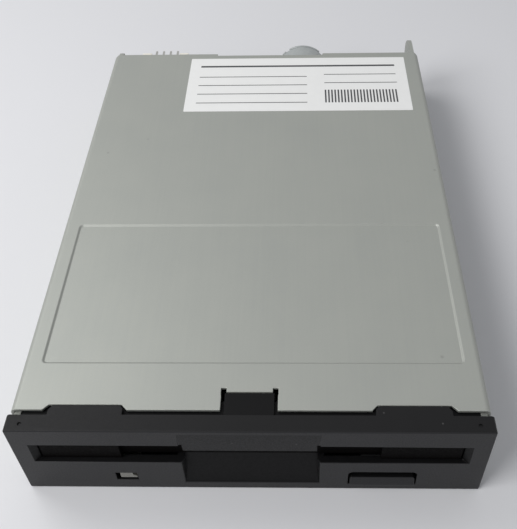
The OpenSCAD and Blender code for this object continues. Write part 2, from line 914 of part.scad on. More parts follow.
module power_pins() {
    w = 0.32;
    color(zinc)
    for (i = [-1.5 : 1.5]) {
        x = power_x + i * power_pitch;
        span([x - w, x + w], [power_tail_y - 0.35, y_last], [power_pin_z - w, power_pin_z + w]);
        span([x - w, x + w], [power_tail_y - 0.35, power_tail_y + 0.35],
            [board_z - pin_tail, power_pin_z]);
    }
}

// Flat cable from the motor board to the control board
module motor_cable() {
    t = 0.25;
    a = motor_top;
    b = control_top;
    lift = a + 1.4;
    y1 = board_rear;
    y2 = control_front;
    color("#e8e4d8")
    along_x([-26, -17.2], [
        [y1 - 7, a], [y1 - 1, a], [y1 + 2, lift], [y2 - 3, lift], [y2 + 0.6, b], [y2 + 4, b],
        [y2 + 4, b + t], [y2 + 0.6, b + t], [y2 - 3, lift + t], [y1 + 2, lift + t],
        [y1 - 1, a + t], [y1 - 7, a + t]
    ]);
}

// Socket that takes the tail of the head flex
module flex_socket() {
    color("#efe9da")
    span([-23.7, -20.3], [control_front + 6.4, control_front + 11], [control_top, control_top + 5.4]);
}

module track_sensor() {
    y = carriage_y[1];
    z = control_top;
    color("#1f1f22")
    difference() {
        span([-17.6, -12.4], [y - 5.3, y - 0.3], [z, z + 5.2]);
        span([-15.8, -11], [y - 6, y + 1], [z + 1.9, z + 4.3]);
    }
}

// Bracket that carries the stepper and the front bearing of the lead screw
module stepper_bracket() {
    x = [screw_x - 5.6, screw_x + 5.6];
    color(zinc)
    difference() {
        union() {
            span(x, [upright_front, stepper_y], [floor_t, floor_t + upright_t]);
            span([screw_x - 2.8, screw_x + 2.8], [upright_front, upright_front + upright_t],
                [floor_t, screw_z + 1.8]);
            span(x, [upright_rear, stepper_y], [floor_t, screw_z + 5.6]);
        }
        rod_along_y(screw_x, [upright_front - 1, upright_front + 3], screw_z, 1.5);
        rod_along_y(screw_x, [upright_rear - 1, stepper_y + 1], screw_z, 1.7);
        for (y = bracket_screw_ys)
            post(screw_x - 3.2, y, [0, 4], screw_shank + 0.2);
    }
}

module bracket_screws() {
    color(zinc)
    for (y = bracket_screw_ys)
        pan_screw(screw_x - 3.2, y, floor_t + upright_t, 1.9);
}

module pivot_bush() {
    color(brass_tone)
    difference() {
        rod_along_y(screw_x, [upright_front - 0.4, upright_front + upright_t], screw_z, 1.5);
        rod_along_y(screw_x, [upright_front, upright_front + 3], screw_z, 0.9 + run_gap);
    }
}

module stepper_can() {
    color("#9a9d9b")
    difference() {
        rod_along_y(screw_x, [stepper_y, stepper_end - 0.8], screw_z, stepper_r);
        rod_along_y(screw_x, [stepper_y + 0.8, stepper_end], screw_z, stepper_r - 0.7);
        rod_along_y(screw_x, [stepper_y - 1, stepper_y + 2], screw_z, 1 + run_gap);
    }
}

// Rear plate of the can with crimp notches
module stepper_end_cap() {
    y = [stepper_end - 0.8, stepper_end];
    color("#8f9391")
    difference() {
        union() {
            rod_along_y(screw_x, y, screw_z, stepper_r);
            rod_along_y(screw_x, [y[0], body_len], screw_z, 2.4);
        }
        for (a = [51 : 90 : 321])
            translate([screw_x, 0, screw_z])
                rotate([0, a, 0])
                    span([stepper_r - 0.6, stepper_r + 1], [y[0] - 1, y[1] + 1], [-0.8, 0.8]);
        rod_along_y(screw_x, [y[0] - 1, y[1] - 0.2], screw_z, 1 + run_gap);
    }
}

module stepper_coils() {
    y = stepper_y + 0.8;
    len = (stepper_len - 2) / 2;
    color("#8d5a33")
    for (i = [0, 1])
        difference() {
            rod_along_y(screw_x, [y + i * (len + 0.2), y + i * (len + 0.2) + len], screw_z,
                stepper_r - 0.7);
            rod_along_y(screw_x, [y - 1, stepper_end], screw_z, stepper_r - 2.4);
        }
}

module stepper_terminal() {
    color("#e4dfce")
    difference() {
        span([data_right + 1, data_right + 5.6], [stepper_y + 2.6, stepper_y + 9],
            [control_top, control_top + 3]);
        rod_along_y(screw_x, [stepper_y, stepper_end], screw_z, stepper_r + 0.1);
    }
}

module guide_rods() {
    color("#c4c8c8")
    for (x = [rod_x1, rod_x2])
        rod_along_y(x, [post_front, post_rear + post_t], rod_z, rod_r);
}

module eject_button() {
    x = [button_x - button_half + trim_gap + 0.15, button_x + button_half - trim_gap - 0.15];
    z = [button_z + trim_gap + 0.15, button_z + button_h - 2.4];
    color("#303034")
    difference() {
        union() {
            round_face(x, [y_first, 5.5], z, 0.6);
            span(x, [y_first, 5.5], [z[0], z[0] + 1.5]);
            span([button_x - 4.5, button_x + 4.5], [5, bracket_y[1] - 0.6], [3.5, bracket_z]);
            post(button_x, (bracket_y[0] + bracket_y[1]) / 2, [bracket_z - 0.1, bracket_z + 1.6], 1.4);
        }
        // face that leans back towards the top
        along_x([x[0] - 1, x[1] + 1], [
            [y_first - 1, z[0] + 0.5], [y_first, z[0] + 0.5], [0, z[1]], [0, z[1] + 1],
            [y_first - 1, z[1] + 1]
        ]);
    }
}

// Slide with cam slots in its sides; the button is fixed to its bracket
module slide_plate() {
    color("#b4b8b4")
    difference() {
        union() {
            span([-slide_half, slide_half], [slide_front, 30], [slide_z, slide_top]);
            for (s = [-1, 1]) {
                side_span(s, [slide_half - 13, slide_half], [slide_front, slide_rear],
                    [slide_z, slide_top]);
                side_span(s, [slide_in, slide_half], [slide_front, slide_rear],
                    [slide_low, slide_top]);
                side_span(s, [spring_x - 1.6, spring_x + 1.6], [spring_y[1], spring_y[1] + sheet_t],
                    [slide_top - 0.1, spring_z + 1.2]);
            }
            span([button_x - 6, slide_half], bracket_y, [bracket_z, bracket_z + sheet_t]);
            span([slide_in, slide_half], bracket_y, [bracket_z, slide_low + 0.5]);
        }
        for (s = [-1, 1], y = pin_ys)
            slot_through_x(s > 0 ? [slide_in - 1, slide_half + 1] : [-slide_half - 1, -slide_in + 1],
                [y, pin_z], [y + eject_travel, pin_z - drop], guide_pin_r + 0.15);
        post(button_x, (bracket_y[0] + bracket_y[1]) / 2, [bracket_z - 1, bracket_z + 2], 1.4);
    }
}

// Two springs that pull the slide to the front
module slide_springs() {
    color("#c9cccb")
    for (s = [-1, 1])
        translate([s * spring_x, spring_y[0], spring_z])
            rotate([-90, 0, 0])
                coil(spring_y[1] - spring_y[0], 0.95, 0.22, 18);
}

// Holder that takes the disk and drops with it
module disk_holder() {
    color("#c2c5bf")
    difference() {
        union() {
            span([-holder_half, holder_half], [holder_front, holder_rear], [holder_in, holder_top]);
            for (s = [-1, 1]) {
                side_span(s, [bay_half, holder_half], [holder_front, holder_rear],
                    [lip_top - sheet_t, holder_top]);
                side_span(s, [bay_half - 4.6, holder_half], [24, holder_rear - 1.5],
                    [lip_top - sheet_t, lip_top]);
                side_span(s, [bay_half - 15.1, holder_half], [holder_rear - sheet_t, holder_rear],
                    [lip_top - sheet_t, holder_in + 0.1]);
            }
            // tongue that carries the upper arm
            span([11.5, 17], [holder_rear - 3.5, head_y + 18.4], [holder_in, holder_top]);
            post(lever_x, lever_y, [holder_top - 0.1, lever_z + sheet_t + 0.9], 1.5);
        }
        span([-14, 11.5], [holder_cut, holder_rear + 1], [holder_in - 1, holder_top + 1]);
        span([11.4, 14], [holder_cut, holder_rear - 3.5], [holder_in - 1, holder_top + 1]);
        lever_arc();
    }
}

// Way of the lever pin through the holder
module lever_arc() {
    width = 1.5;
    translate([lever_x, lever_y, holder_in - 1])
        rotate([0, 0, lever_rest - 4])
            rotate_extrude(angle = lever_turn + 9, $fn = 96)
                translate([lever_r - width, 0])
                    square([2 * width, sheet_t + 2]);
}

module guide_pins() {
    color(zinc)
    for (s = [-1, 1], y = pin_ys)
        side_rod_x(s, [holder_half, wall_up - 0.3], y, pin_z, guide_pin_r);
}

// Lever that opens the shutter of the disk
module trigger_lever() {
    color("#d0d2cc")
    translate([lever_x, lever_y, lever_z])
        rotate([0, 0, lever_rest])
            difference() {
                union() {
                    cylinder(h = sheet_t, r = 3.6);
                    translate([0, -2, 0])
                        cube([lever_r, 4, sheet_t]);
                    translate([lever_r, 0, 0])
                        cylinder(h = sheet_t, r = 2);
                }
                translate([0, 0, -1])
                    cylinder(h = sheet_t + 2, r = 1.5 + run_gap);
                translate([lever_r, 0, -1])
                    cylinder(h = sheet_t + 2, r = 0.9);
            }
}

module lever_pin() {
    a = lever_rest;
    x = lever_x + lever_r * cos(a);
    y = lever_y + lever_r * sin(a);
    color(zinc)
    union() {
        post(x, y, [lip_top + 0.6, lever_z], 1.2);
        post(x, y, [lever_z - 0.1, lever_z + sheet_t], 0.9);
    }
}

module lever_spring() {
    color("#c9cccb")
    translate([lever_x, lever_y, lever_z + sheet_t + 0.05])
        coil(0.9, 2.1, 0.2, 1.1);
}

// Flap that closes the slot from inside
module dust_flap() {
    x = slot_half - 0.35;
    z = [slot_z + 0.3, slot_top - 0.4];
    color("#202024")
    difference() {
        union() {
            for (s = [-1, 1])
                side_span(s, [28, x], [0.9, 2.1], z);
            span([-29.4, 29.4], [2.1, 3.1], z);
            span([-x, x], [1.9, 3.1], [flap_z - 1.8, flap_z - 0.2]);
            rod_along_x([-x, x], flap_y, flap_z, 0.85);
            rod_along_x([-bezel_in_x - 1.4, bezel_in_x + 1.4], flap_y, flap_z, 0.6);
        }
        // seat of the flap spring
        difference() {
            span([flap_seat, flap_seat + 5], [1, 5], [flap_z - 1.4, flap_z + 2]);
            rod_along_x([flap_seat - 1, flap_seat + 6], flap_y, flap_z, 0.5);
        }
    }
}

module flap_spring() {
    color("#c9cccb")
    translate([flap_seat + 0.6, flap_y, flap_z])
        rotate([0, 90, 0])
            coil(3.8, 0.72, 0.13, 5);
}

// Cast carriage that slides on the guide rods
module head_carriage() {
    y0 = carriage_y[0];
    y1 = carriage_y[1];
    color("#a9adb0")
    difference() {
        union() {
            span([-9.2, 9], [y0, y1], [rod_z - 3, 13.5]);
            span([-3.6, 5], [head_y - 4.5, y0 + 0.2], [loaded_z - 3.1, loaded_z - 0.6]);
            for (s = [-1, 1])
                side_span(s, [7, 9], [hinge_y - 3, hinge_y + 3], [13, hinge_z + 1.6]);
            // wing to the second rod and block of the follower
            span([8.8, rod_x2 + 2.4], [head_y + 27, head_y + 35], [rod_z - 2.6, rod_z + 1.3]);
            span([rod_x2 - 2.6, rod_x2 + 2.4], [head_y + 27, head_y + 35], [rod_z - 3, rod_z + 3]);
            span([screw_x + 2.4, screw_x + 5.6], [follow_y - 2, follow_y + 2],
                [rod_z + 1, screw_z + 1.5]);
            // flag of the track sensor
            span([-14.4, -9], [y1 - 4, y1 - 1], [6.1, 6.9]);
        }
        rod_along_y(rod_x1, [y0 - 1, y1 + 1], rod_z, rod_r + run_gap);
        rod_along_y(rod_x2, [y0 - 1, y1 + 1], rod_z, rod_r + run_gap);
        span([rod_x2, rod_x2 + 4], [y0 - 1, y1 + 1],
            [rod_z - rod_r - run_gap, rod_z + rod_r + run_gap]);
        for (s = [-1, 1])
            side_rod_x(s, [6, 10], hinge_y, hinge_z, 0.8);
        rod_along_x([screw_x + 2, screw_x + 7], follow_y, screw_z, 0.4);
        span([-3, 4.6], [y0 + 3, y1 - 3], [7.4, 14]);
    }
}

module lower_head() {
    color("#5b5f63")
    union() {
        span([-3, 3], [head_y - 3.8, head_y + 3.8], [loaded_z - 0.6, loaded_z]);
        span([-2, 2], [head_y - 3.2, head_y + 3.2], [loaded_z - 0.1, media_z]);
    }
}

// Needle that runs in the thread of the lead screw
module screw_follower() {
    color(zinc)
    rod_along_x([screw_x + screw_core, screw_x + 5], follow_y, screw_z, 0.4);
}

module hinge_pin() {
    color(zinc)
    rod_along_x([-9.3, 9.3], hinge_y, hinge_z, 0.8);
}

module arm_spring() {
    color("#c9cccb")
    translate([-2.2, hinge_y, hinge_z])
        rotate([0, 90, 0])
            coil(4.4, 1.15, 0.2, 4);
}

// Arm of the upper head, hinged on the carriage
module upper_arm() {
    z = [arm_z, arm_z + 2.2];
    color("#b7babd")
    difference() {
        union() {
            span([-6.6, 6.6], [head_y - 5, hinge_y], z);
            rod_along_x([-6.6, 6.6], hinge_y, hinge_z, 1.5);
            span([6.4, 15.5], [wing_y - 2, wing_y + 2], [arm_z, arm_z + 0.8]);
            span([12.5, 15.5], [wing_y - 2, wing_y + 2], [holder_top + 0.2, arm_z + 0.1]);
        }
        rod_along_x([-8, 8], hinge_y, hinge_z, 0.8 + run_gap);
        span([-3, 3], [hinge_y - 2.4, hinge_y + 3], [arm_z - 2, arm_z + 4]);
        span([-3.6, 3.6], [head_y + 7, head_y + 22], [arm_z - 1, arm_z + 4]);
        span([-5.4, 5.4], [head_y - 4, hinge_y - 4], [arm_z + 1.2, arm_z + 4]);
    }
}

module upper_head() {
    color("#5b5f63")
    union() {
        span([-3, 3], [head_y - 3.8, head_y + 3.8], [arm_z - 1.2, arm_z]);
        span([-2, 2], [head_y - 3.2, head_y + 3.2], [upper_head_z, arm_z - 1.1]);
    }
}

// Flexible circuit that loops from the carriage to its socket
module head_flex() {
    t = 0.2;
    x = -9.2 - t / 2;
    far = -22;
    r = (x - far) / 2;
    y0 = carriage_y[0] + 1;
    y1 = carriage_y[1] - 4;
    y2 = control_front + 11;
    z = [9.3, 13.2];
    color("#b06a32")
    union() {
        span([x - t / 2, x + t / 2], [y0, y1], z);
        span([far - t / 2, far + t / 2], [y2, y1], z);
        span([far - t / 2, far + t / 2], [y2, y2 + 5], [control_top + 2, z[1]]);
        translate([x - r, y1, z[0]])
            rotate_extrude(angle = 180, $fn = 64)
                translate([r - t / 2, 0])
                    square([t, z[1] - z[0]]);
    }
}

// Lead screw with one start, plain journals at both ends
module lead_screw() {
    rate = 360 / screw_lead;
    len = screw_y[1] - screw_y[0];
    color("#cfd2d2")
    union() {
        translate([screw_x, screw_y[0], screw_z])
            rotate([-90, 0, 0])
                linear_extrude(height = len, twist = rate * len, slices = round(len * 5), $fn = 14)
                    rotate(180 + rate * (follow_y - screw_y[0]))
                        translate([screw_ecc, 0])
                            circle(r = screw_core);
        rod_along_y(screw_x, [upright_front + 0.05, screw_y[0] + 0.1], screw_z, 0.9);
        rod_along_y(screw_x, [screw_y[1] - 0.1, stepper_end - 0.3], screw_z, 1);
    }
}

module stepper_rotor() {
    color("#4a4d52")
    difference() {
        rod_along_y(screw_x, [stepper_y + 1.6, stepper_end - 1.8], screw_z, stepper_r - 2.8);
        rod_along_y(screw_x, [stepper_y, stepper_end], screw_z, 1.02);
    }
}

// Steel cup of the rotor
module rotor_cup() {
    color("#b5b8b6")
    difference() {
        post(0, spindle_y, [rotor_z, rotor_top], rotor_r);
        post(0, spindle_y, [rotor_z - 1, rotor_top - 1], rotor_r - 1);
        post(0, spindle_y, [rotor_z - 1, rotor_top + 1], shaft_r);
        post(0, spindle_y + drive_pin_at, [rotor_z, rotor_top + 1], drive_pin_r + run_gap);
    }
}

module rotor_magnet() {
    color("#3c3d40")
    difference() {
        post(0, spindle_y, [rotor_z + 0.1, rotor_top - 1], rotor_r - 1);
        post(0, spindle_y, [rotor_z - 1, rotor_top], rotor_r - 2.6);
    }
}

// Plate with the holding magnet of the disk hub
module chuck_plate() {
    color("#4d4f52")
    difference() {
        post(0, spindle_y, [rotor_top, chuck_top], chuck_r);
        post(0, spindle_y, [rotor_top - 1, chuck_top + 1], shaft_r);
        post(0, spindle_y + drive_pin_at, [rotor_top - 1, chuck_top + 1], drive_pin_r + run_gap);
    }
}

module spindle_shaft() {
    color("#d5d8d8")
    union() {
        post(0, spindle_y, [1, shaft_tip - 0.6], shaft_r);
        translate([0, spindle_y, shaft_tip - 0.6])
            cylinder(h = 0.6, r1 = shaft_r, r2 = shaft_r - 0.6);
    }
}

// Sprung pin that drives the disk hub
module drive_pin() {
    color("#d5d8d8")
    post(0, spindle_y + drive_pin_at, [rotor_top - 0.4, chuck_top + 1], drive_pin_r);
}

// Drive centred over its base
module placed() {
    translate([0, -y_mid, 0])
        children();
}

placed() base_frame();
placed() front_bezel();
placed() top_cover();
placed() rating_label();
placed() led_lens();
placed() led_lamp();
placed() motor_board();
placed() spindle_bearing();
placed() stator_core();
placed() stator_coils();
placed() motor_chips();
placed() index_sensor();
placed() switch_bodies();
placed() board_screws();
placed() control_board();
placed() control_chips();
placed() board_parts();
placed() data_header();
placed() data_pins();
placed() power_header();
placed() power_pins();
placed() motor_cable();
placed() flex_socket();
placed() track_sensor();
placed() stepper_bracket();
placed() stepper_can();
placed() stepper_end_cap();
placed() stepper_coils();
placed() stepper_terminal();
placed() pivot_bush();
placed() bracket_screws();
placed() guide_rods();
placed() eject_button();
placed() slide_plate();
placed() slide_springs();
placed() disk_holder();
placed() guide_pins();
placed() trigger_lever();
placed() lever_pin();
placed() lever_spring();
placed() dust_flap();
placed() flap_spring();
placed() head_carriage();
placed() lower_head();
placed() screw_follower();
placed() hinge_pin();
placed() arm_spring();
placed() upper_arm();
placed() upper_head();
placed() head_flex();
placed() lead_screw();
placed() stepper_rotor();
placed() rotor_cup();
placed() rotor_magnet();
placed() chuck_plate();
placed() spindle_shaft();
placed() drive_pin();
placed() density_plunger();
placed() disk_plunger();
placed() protect_plunger();
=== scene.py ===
import json
import math

import bmesh
import bpy
from mathutils import Matrix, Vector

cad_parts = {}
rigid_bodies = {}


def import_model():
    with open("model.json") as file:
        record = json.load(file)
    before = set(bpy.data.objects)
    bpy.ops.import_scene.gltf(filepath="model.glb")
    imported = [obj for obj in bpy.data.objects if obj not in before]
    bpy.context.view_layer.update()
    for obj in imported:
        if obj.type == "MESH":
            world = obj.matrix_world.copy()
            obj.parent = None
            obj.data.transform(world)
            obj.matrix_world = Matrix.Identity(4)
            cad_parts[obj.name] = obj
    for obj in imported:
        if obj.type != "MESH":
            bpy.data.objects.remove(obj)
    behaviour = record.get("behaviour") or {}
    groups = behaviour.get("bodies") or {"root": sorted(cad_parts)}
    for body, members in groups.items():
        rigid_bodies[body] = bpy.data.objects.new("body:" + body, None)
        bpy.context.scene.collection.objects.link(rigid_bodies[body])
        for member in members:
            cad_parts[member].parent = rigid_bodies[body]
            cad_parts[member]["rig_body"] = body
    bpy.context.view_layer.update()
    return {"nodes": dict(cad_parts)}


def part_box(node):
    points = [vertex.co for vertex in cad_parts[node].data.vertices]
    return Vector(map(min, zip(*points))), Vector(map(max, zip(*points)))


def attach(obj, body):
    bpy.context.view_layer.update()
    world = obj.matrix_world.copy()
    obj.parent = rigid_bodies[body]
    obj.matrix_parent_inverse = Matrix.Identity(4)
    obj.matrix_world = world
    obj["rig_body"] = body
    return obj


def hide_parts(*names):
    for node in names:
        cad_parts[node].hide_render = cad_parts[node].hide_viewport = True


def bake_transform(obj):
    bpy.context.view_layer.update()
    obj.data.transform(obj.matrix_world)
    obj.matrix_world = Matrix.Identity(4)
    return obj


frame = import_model()

# The table and the room: a plain pale sheet on a table, lit softly from a window on the left.
# The camera stands above and in front of the bezel, as in the photograph.
scene = bpy.context.scene
scene.view_settings.view_transform = "Standard"
mm = 0.001
room_pale = "#cfcfd1"


def linear(hex_colour):
    """sRGB hex value as linear RGBA."""
    parts = [int(hex_colour[i:i + 2], 16) / 255 for i in (1, 3, 5)]
    return [c / 12.92 if c <= 0.04045 else ((c + 0.055) / 1.055) ** 2.4 for c in parts] + [1.0]


def put(tree, kind, settings=None, links=None):
    """Adds one node: settings go to its attributes or sockets, links come from (node, output)."""
    node = tree.nodes.new(kind)
    for key, value in (settings or {}).items():
        if isinstance(key, str) and key in node.bl_rna.properties:
            setattr(node, key, value)
        else:
            node.inputs[key].default_value = value
    for key, (source, output) in (links or {}).items():
        tree.links.new(source.outputs[output], node.inputs[key])
    return node


def new_material(name):
    """An empty material and its node tree."""
    material = bpy.data.materials.new(name)
    material.use_nodes = True
    material.node_tree.nodes.clear()
    return material, material.node_tree


def looked_at(tree):
    """1 for what the camera sees itself, in gloss or through something clear, and 0 for light."""
    ray = put(tree, "ShaderNodeLightPath")
    mirrored = put(tree, "ShaderNodeMath", {"operation": "MAXIMUM"}, {
        0: (ray, "Is Glossy Ray"), 1: (ray, "Is Transmission Ray"),
    })
    return put(tree, "ShaderNodeMath", {"operation": "MAXIMUM"}, {
        0: (ray, "Is Camera Ray"), 1: (mirrored, 0),
    })


bpy.ops.object.select_all(action="DESELECT")
bpy.ops.object.camera_add(
    location=(0.01039, -0.15323, 0.17032),
    rotation=[math.radians(a) for a in (47.22, 1.29, 0.96)],
)
camera = bpy.context.object
camera.data.sensor_fit = "HORIZONTAL"
camera.data.sensor_width = 36
camera.data.lens = 53.20
camera.data.shift_x = -0.0343
camera.data.shift_y = -0.1844
camera.data.clip_start = 0.01
scene.camera = camera

table_size, table_gap = 6, 0.1 * mm
lit_near, pale_far = 0.25, 0.8
bpy.ops.mesh.primitive_plane_add(size=table_size, location=(0, 0, -table_gap))
table_top = bpy.context.object
table_top.name = "table_top"
sheet, tree = new_material("pale_table_sheet")
cloth = put(tree, "ShaderNodeBsdfPrincipled", {
    "Base Color": linear("#e0e0e2"), "Roughness": 0.95, "Specular IOR Level": 0.1,
})
# Away from the lamps the sheet runs into the pale of the room, so that no dark edge shows behind.
place = put(tree, "ShaderNodeTexCoord")
away = put(tree, "ShaderNodeVectorMath", {"operation": "LENGTH"}, {0: (place, "Object")})
far = put(tree, "ShaderNodeMapRange", {
    "interpolation_type": "SMOOTHSTEP", "From Min": lit_near, "From Max": pale_far,
}, {"Value": (away, "Value")})
share = put(tree, "ShaderNodeMath", {"operation": "MULTIPLY"}, {0: (far, 0), 1: (looked_at(tree), 0)})
haze = put(tree, "ShaderNodeEmission", {"Color": linear(room_pale), "Strength": 1.0})
spread = put(tree, "ShaderNodeMixShader", None, {0: (share, 0), 1: (cloth, "BSDF"), 2: (haze, 0)})
put(tree, "ShaderNodeOutputMaterial", None, {"Surface": (spread, 0)})
table_top.data.materials.append(sheet)

world = bpy.data.worlds.new("room")
world.use_nodes = True
scene.world = world
tree = world.node_tree
tree.nodes.clear()
fill = put(tree, "ShaderNodeBackground", {"Color": linear("#f4f6fa"), "Strength": 0.44})
pale = put(tree, "ShaderNodeBackground", {"Color": linear(room_pale), "Strength": 1.0})
both = put(tree, "ShaderNodeMixShader", None, {0: (looked_at(tree), 0), 1: (fill, 0), 2: (pale, 0)})
put(tree, "ShaderNodeOutputWorld", None, {"Surface": (both, 0)})

for name, place, aim, size, watts in (
    ("window", (-0.34, -0.26, 0.42), (0, -0.02, 0.02), 0.30, 1.9),
    ("ceiling", (-0.30, 0.16, 0.46), (0, 0, 0.02), 0.26, 0.8),
):
    bpy.ops.object.light_add(type="AREA", location=place)
    lamp = bpy.context.object
    lamp.name = name
    lamp.data.size = size
    lamp.data.energy = watts
    way = [a - p for a, p in zip(aim, place)]
    lamp.rotation_euler = (
        math.atan2(math.hypot(way[0], way[1]), -way[2]), 0, math.atan2(-way[0], way[1]),
    )

# The base frame is bent from one piece of zinc coated steel sheet, with posts and tapped holes.
# The coat is a dull grey with a faint green, long marks from the rolls and a few small scuffs.
# Its grain is under 0.1 mm and is drawn at 0.28 mm, so that it shows.
roll_mark, coat_grain, coat_cloud, scuff_spacing = 0.7 * mm, 0.28 * mm, 16 * mm, 12 * mm
coated_steel, tree = new_material("zinc_coated_steel_sheet")
place = put(tree, "ShaderNodeTexCoord")
cloud = put(tree, "ShaderNodeTexNoise", {
    "Scale": 1 / coat_cloud, "Detail": 3.0, "Roughness": 0.55,
}, {"Vector": (place, "Object")})
rolled = put(tree, "ShaderNodeMapping", {"Scale": (1.0, 0.02, 1.0)}, {"Vector": (place, "Object")})
streak = put(tree, "ShaderNodeTexNoise", {
    "Scale": 1 / roll_mark, "Detail": 2.0,
}, {"Vector": (rolled, 0)})
grit = put(tree, "ShaderNodeTexNoise", {
    "Scale": 1 / coat_grain, "Detail": 2.0,
}, {"Vector": (place, "Object")})
tone = put(tree, "ShaderNodeMath", {"operation": "MULTIPLY", 1: 0.35}, {0: (streak, "Fac")})
blend = put(tree, "ShaderNodeMath", {
    "operation": "MULTIPLY_ADD", 1: 0.65,
}, {0: (cloud, "Fac"), 2: (tone, 0)})
coat = put(tree, "ShaderNodeMix", {
    "data_type": "RGBA", 6: linear("#a8aaa3"), 7: linear("#9da09b"),
}, {0: (blend, 0)})
knock = put(tree, "ShaderNodeTexVoronoi", {"Scale": 1 / scuff_spacing}, {"Vector": (place, "Object")})
scuff = put(tree, "ShaderNodeMapRange", {
    "From Min": 0.045, "From Max": 0.02, "To Max": 0.3,
}, {"Value": (knock, "Distance")})
worn = put(tree, "ShaderNodeMix", {
    "data_type": "RGBA", 7: linear("#6f716c"),
}, {0: (scuff, 0), 6: (coat, 2)})
matt = put(tree, "ShaderNodeMapRange", {
    "From Min": 0.3, "From Max": 0.7, "To Min": 0.44, "To Max": 0.54,
}, {"Value": (grit, "Fac")})
relief = put(tree, "ShaderNodeBump", {
    "Strength": 0.12, "Distance": 0.02 * mm,
}, {"Height": (grit, "Fac")})
steel = put(tree, "ShaderNodeBsdfPrincipled", {"Metallic": 0.4}, {
    "Base Color": (worn, 2), "Roughness": (matt, 0), "Normal": (relief, 0),
})
put(tree, "ShaderNodeOutputMaterial", None, {"Surface": (steel, 0)})


def dress(material, *nodes):
    """Gives CAD nodes whose shape is right their material."""
    for node in nodes:
        slots = frame["nodes"][node].data.materials
        slots.clear()
        slots.append(material)


def soften(node, material, width, steps=2, leave=lambda p: False):
    """A copy of a CAD node, merged, its edges rounded by so many millimetres but for those to leave."""
    source = frame["nodes"][node]
    piece = bpy.data.objects.new(node + "_form", source.data.copy())
    scene.collection.objects.link(piece)
    bpy.ops.object.select_all(action="DESELECT")
    piece.select_set(True)
    bpy.context.view_layer.objects.active = piece
    bpy.ops.mesh.customdata_custom_splitnormals_clear()
    bpy.ops.object.mode_set(mode="EDIT")
    bpy.ops.mesh.select_all(action="SELECT")
    bpy.ops.mesh.remove_doubles(threshold=0.001 * mm)
    bpy.ops.mesh.dissolve_limited(angle_limit=math.radians(0.5))
    bpy.ops.mesh.select_all(action="DESELECT")
    bpy.ops.mesh.select_mode(type="EDGE")
    shell = bmesh.from_edit_mesh(piece.data)
    for edge in shell.edges:
        middle = (edge.verts[0].co + edge.verts[1].co) / 2 / mm
        edge.select_set(edge.calc_face_angle(0) > math.radians(40) and not leave(middle))
    bmesh.update_edit_mesh(piece.data)
    bpy.ops.mesh.bevel(offset=width * mm, segments=steps, affect="EDGES", clamp_overlap=False)
    bpy.ops.object.mode_set(mode="OBJECT")
    bpy.ops.object.shade_smooth_by_angle(angle=math.radians(35))
    even = piece.modifiers.new("even", "WEIGHTED_NORMAL")
    even.keep_sharp = True
    bpy.ops.object.modifier_apply(modifier="even")
    piece.data.materials.clear()
    piece.data.materials.append(material)
    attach(piece, source["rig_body"])
    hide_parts(node)
    return piece


soften("base_frame", coated_steel, 0.12)


# Motor board: a steel cored circuit board in olive resist, screwed to four posts of the frame.
# Tracks show as slightly lighter lines under the resist, and vias as small tinned dots. Tracks are
# about 0.5 mm apart and are drawn 1.0 and 1.3 mm apart, so that they show.
wave_length = 0.314  # metres between two bands of a wave texture with a Scale of 1
track_field, via_spacing = 11 * mm, 3.2 * mm


def circuit(name, resist, track, pitch):
    """A circuit board face: tracks that change direction from field to field, and tinned vias."""
    material, tree = new_material(name)
    place = put(tree, "ShaderNodeTexCoord")
    field = put(tree, "ShaderNodeTexVoronoi", {"Scale": 1 / track_field}, {"Vector": (place, "Object")})
    split = put(tree, "ShaderNodeSeparateColor", None, {0: (field, "Color")})
    turn = put(tree, "ShaderNodeMath", {"operation": "GREATER_THAN", 1: 0.5}, {0: (split, 0)})
    lines = []
    for way in ("X", "Y"):
        lines.append(put(tree, "ShaderNodeTexWave", {
            "bands_direction": way, "Scale": wave_length / (pitch * mm), "Distortion": 0.0,
        }, {"Vector": (place, "Object")}))
    wave = put(tree, "ShaderNodeMix", {"data_type": "FLOAT"}, {
        0: (turn, 0), 2: (lines[0], "Fac"), 3: (lines[1], "Fac"),
    })
    ridge = put(tree, "ShaderNodeMapRange", {"From Min": 0.55, "From Max": 0.7}, {"Value": (wave, 0)})
    under = put(tree, "ShaderNodeMix", {
        "data_type": "RGBA", 6: linear(resist), 7: linear(track),
    }, {0: (ridge, 0)})
    hole = put(tree, "ShaderNodeTexVoronoi", {
        "Scale": 1 / via_spacing, "Randomness": 0.8,
    }, {"Vector": (place, "Object")})
    dot = put(tree, "ShaderNodeMath", {"operation": "LESS_THAN", 1: 0.11}, {0: (hole, "Distance")})
    face = put(tree, "ShaderNodeMix", {
        "data_type": "RGBA", 7: linear("#c9c7bd"),
    }, {0: (dot, 0), 6: (under, 2)})
    rise = put(tree, "ShaderNodeBump", {
        "Strength": 0.35, "Distance": 0.04 * mm,
    }, {"Height": (ridge, 0)})
    board = put(tree, "ShaderNodeBsdfPrincipled", {"Roughness": 0.34}, {
        "Base Color": (face, 2), "Metallic": (dot, 0), "Normal": (rise, 0),
    })
    put(tree, "ShaderNodeOutputMaterial", None, {"Surface": (board, 0)})
    return material


steel_board = circuit("steel_cored_board_olive_resist", "#3d4426", "#4c5532", 1.3)
soften("motor_board", steel_board, 0.08)


